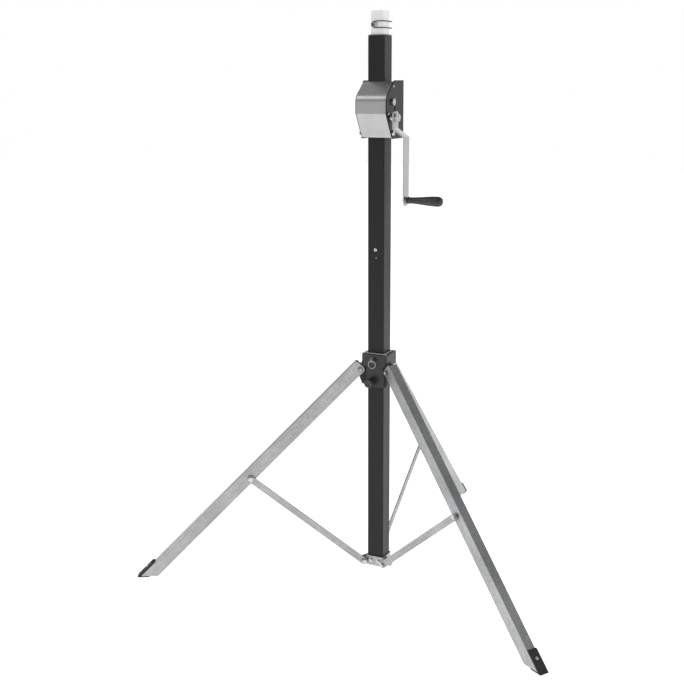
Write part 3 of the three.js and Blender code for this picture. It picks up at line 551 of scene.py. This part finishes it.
def finish_knob():
    low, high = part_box("lock_knob")
    centre = middle("lock_knob")
    depth = high.y - low.y
    face = [(1.2 * MM, 5 * MM), (0.6 * MM, 6 * MM), (0, 8 * MM), (0.4 * MM, 10.6 * MM), (2 * MM, 12.3 * MM)]
    back = [(17 * MM, 12.3 * MM), (19 * MM, 11 * MM), (19.2 * MM, 8 * MM)]
    back += [(depth - 0.5 * MM, 8 * MM), (depth, 7.4 * MM)]
    front = Vector((centre.x, low.y, centre.z))
    plastic = MATERIALS["knob_plastic"]
    turned(
        "lock_knob_fine", front, Y, face + back, "knob", "black_plastic", "lock_knob",
        sides=168, material=plastic, ribs=14, rib_depth=0.6 * MM,
    )


def finish_ring():
    """The split ring: almost two turns of wire, side by side."""
    low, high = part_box("pull_ring")
    centre = middle("pull_ring")
    radius = (high.x - low.x) / 2 - RING_INSET
    points = []
    for i in range(2 * RING_STEPS - RING_GAP_STEPS):
        angle = math.pi / 2 + 2 * math.pi * i / RING_STEPS
        shift = RING_PITCH * (i / (2 * RING_STEPS) - 0.5)
        points.append(centre + Vector((radius * math.cos(angle), shift, radius * math.sin(angle))))
    wire("pull_ring_fine", points, RING_WIRE, "plunger_ring", "zinc", "pull_ring")


# ---- Tripod ----
LEG_PIVOT_REACH = 0.0547
LEG_FACE = 0.031
LEG_BOLT_HALF = 19 * MM
FOOT_SCREW_ALONG = 0.872
BRACKET_FACE = 0.0283
BRACKET_BOLT_X = 0.012
BRACKET_BOLT_LIFT = 1 * MM


def finish_tripod():
    for key, azimuth in LEG_AZIMUTH.items():
        refined(f"leg_{key}", 0.5 * MM, LEG_METAL[key])
        refined(f"foot_{key}", 1.2 * MM, segments=3)
        refined(f"strut_{key}", 0.5 * MM, STRUT_METAL[key])
        for node in (f"strut_bolt_{key}", f"base_bolt_{key}"):
            refined(node, 0.45 * MM)
        refined(f"leg_bolt_{key}", 0.45 * MM, MATERIALS["dull_zinc"])
        spin = Matrix.Rotation(azimuth, 3, "Z")
        radial = spin @ X
        outward = spin @ Vector((math.cos(LEG_ANGLE), 0, math.sin(LEG_ANGLE)))
        down = spin @ Vector((math.sin(LEG_ANGLE), 0, -math.cos(LEG_ANGLE)))
        pivot = MAST + radial * LEG_PIVOT_REACH
        pivot.z = middle(f"leg_bolt_{key}").z
        foot_screw = pivot + outward * LEG_FACE + down * FOOT_SCREW_ALONG
        screw(f"foot_screw_{key}", foot_screw, outward, 4.6 * MM, f"leg_{key}_body", 2.2 * MM)
        across = Z.cross(radial)
        for side in (-1, 1):
            end = pivot + across * side * LEG_BOLT_HALF
            screw(f"leg_bolt_cap_{key}_{side + 1}", end, across * side, 4.2 * MM, "collar", 1.6 * MM)
    refined("base_bracket", 0.5 * MM)
    height = middle("base_bracket").z + BRACKET_BOLT_LIFT
    for side, x in (("left", -BRACKET_BOLT_X), ("right", BRACKET_BOLT_X)):
        place = Vector((x, MAST.y - BRACKET_FACE, height))
        screw(f"bracket_bolt_{side}", place, -Y, 5.2 * MM, "root", 4 * MM, hexagon=True)


# ---- Winch, crank and cable ----
GRIP_SLIM = 9 * MM
GRIP_STOUT = 13.5 * MM
GRIP_END = 14 * MM
GRIP_STEPS = 18
GRIP_END_STEPS = 10
CABLE_PITCH = 2.6 * MM
COIL_STEPS = 20
COVER_SCREW_OUT = 3.5 * MM
COVER_SCREW_PLACES = ((0.030, 1.420), (0.036, 1.318))
PAWL_SPRING_FORWARD = 62 * MM
PAWL_SPRING_Z = 1.348


def finish_winch():
    for node in ("winch_side_left", "winch_side_right", "winch_back"):
        refined(node, 0.5 * MM)
    refined("winch_cover", 0.35 * MM)
    for node in ("drum_axle", "tie_bolt", "winch_bolt_upper", "winch_bolt_lower", "pulley_axle"):
        refined(node, 0.6 * MM)
    for node in ("crank_nut", "grip_spindle"):
        refined(node, 0.5 * MM)
    refined("crank_arm", 0.6 * MM, MATERIALS["arm_steel"])
    finish_grip()
    for node in ("cable_drum", "drum_gear", "pinion", "ratchet_wheel", "pawl", "cable_pulley", "crank_shaft"):
        refined(node, 0.25 * MM)
    finish_cable_coil()
    finish_winch_screws()


def finish_grip():
    """The crank's grip: a collar at the arm, a waist that swells smoothly, and a round end."""
    low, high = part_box("crank_grip")
    centre = middle("crank_grip")
    length = high.x - low.x
    outline = [(0, 6.2 * MM), (0, GRIP_SLIM - 0.8 * MM), (0.8 * MM, GRIP_SLIM)]
    outline += [(5 * MM, GRIP_SLIM + 0.6 * MM), (6 * MM, GRIP_SLIM)]
    waist = GRIP_SLIM - 0.6 * MM
    for i in range(GRIP_STEPS + 1):
        t = i / GRIP_STEPS
        along = 8 * MM + t * (length - 8 * MM - GRIP_END)
        outline.append((along, waist + (GRIP_STOUT - waist) * (t * t * (3 - 2 * t))))
    for i in range(1, GRIP_END_STEPS + 1):
        angle = math.radians(90 * i / GRIP_END_STEPS)
        along = length - GRIP_END + GRIP_END * math.sin(angle)
        outline.append((along, GRIP_STOUT * math.cos(angle) ** 0.6 + 0.05 * MM))
    start = Vector((low.x, centre.y, centre.z))
    turned("crank_grip_fine", start, X, outline, "grip", "black_plastic", "crank_grip", sides=64)


def finish_cable_coil():
    low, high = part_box("cable_coil")
    centre = middle("cable_coil")
    radius = (high.z - low.z) / 2 - CABLE_PITCH / 2
    turns = int((high.x - low.x - CABLE_PITCH) / CABLE_PITCH)
    points = []
    for i in range(turns * COIL_STEPS + 1):
        angle = 2 * math.pi * i / COIL_STEPS
        x = low.x + CABLE_PITCH / 2 + CABLE_PITCH * i / COIL_STEPS
        points.append((x, centre.y + radius * math.cos(angle), centre.z + radius * math.sin(angle)))
    wire("cable_coil_fine", points, 1.25 * MM, "drum", "zinc", "cable_coil")


def finish_winch_screws():
    """Screws that hold the cover, two on the left and one on the right, and the pawl spring's screw."""
    low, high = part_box("winch_cover")
    sides = (
        ("left", low.x - COVER_SCREW_OUT, -X, COVER_SCREW_PLACES),
        ("right", high.x + COVER_SCREW_OUT, X, COVER_SCREW_PLACES[:1]),
    )
    for side, x, outward, places in sides:
        for number, (forward, z) in enumerate(places):
            place = Vector((x, MAST.y - forward, z))
            screw(f"cover_screw_{side}_{number}", place, outward, 3.4 * MM, "root", 2.2 * MM)
    spring = Vector((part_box("winch_side_right")[1].x, MAST.y - PAWL_SPRING_FORWARD, PAWL_SPRING_Z))
    screw("pawl_spring_screw", spring, X, 4.2 * MM, "root", 3 * MM)


finish_mast()
finish_collar()
finish_tripod()
finish_winch()

# Every CAD node takes its slot's material, though only those that no piece replaces are seen.
for node, thing in frame["nodes"].items():
    thing.data.materials.clear()
    thing.data.materials.append(MATERIALS[SLOT_OF[node]])
